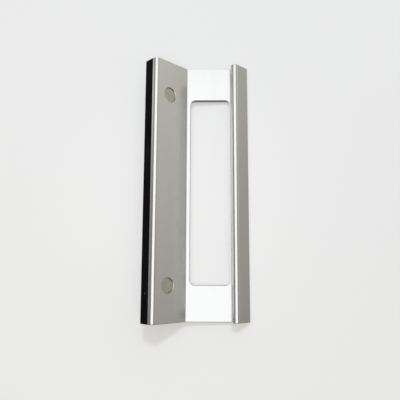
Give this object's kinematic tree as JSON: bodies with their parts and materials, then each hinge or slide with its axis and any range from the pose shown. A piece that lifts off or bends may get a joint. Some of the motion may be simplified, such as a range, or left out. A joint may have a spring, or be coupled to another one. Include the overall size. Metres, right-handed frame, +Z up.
{
  "type": "sliding door handle",
  "caption": "Fixed pull handle for a sliding door: folded aluminium section with a finger window and hooked lip, on a rubber strip, with capped screw holes.",
  "frame": {"origin": "middle of the rubber strip's back face, where it meets the door, on the line of the screws and halfway up the handle", "axes": "+X away from the door, +Z up the handle, +Y from the screw flange towards the hooked lip"},
  "size_m": [0.0565, 0.0666, 0.2],
  "materials": {
    "anodised_aluminium": "satin clear anodised",
    "black_rubber": "matt",
    "grey_plastic": "satin silver-grey",
    "screw_steel": "bright zinc plated"
  },
  "bodies": {
    "root": {"grip_profile": "anodised_aluminium", "backing_strip": "black_rubber", "cap_top": "grey_plastic", "cap_bottom": "grey_plastic", "screw_top": "screw_steel", "screw_bottom": "screw_steel"}
  },
  "joints": []
}
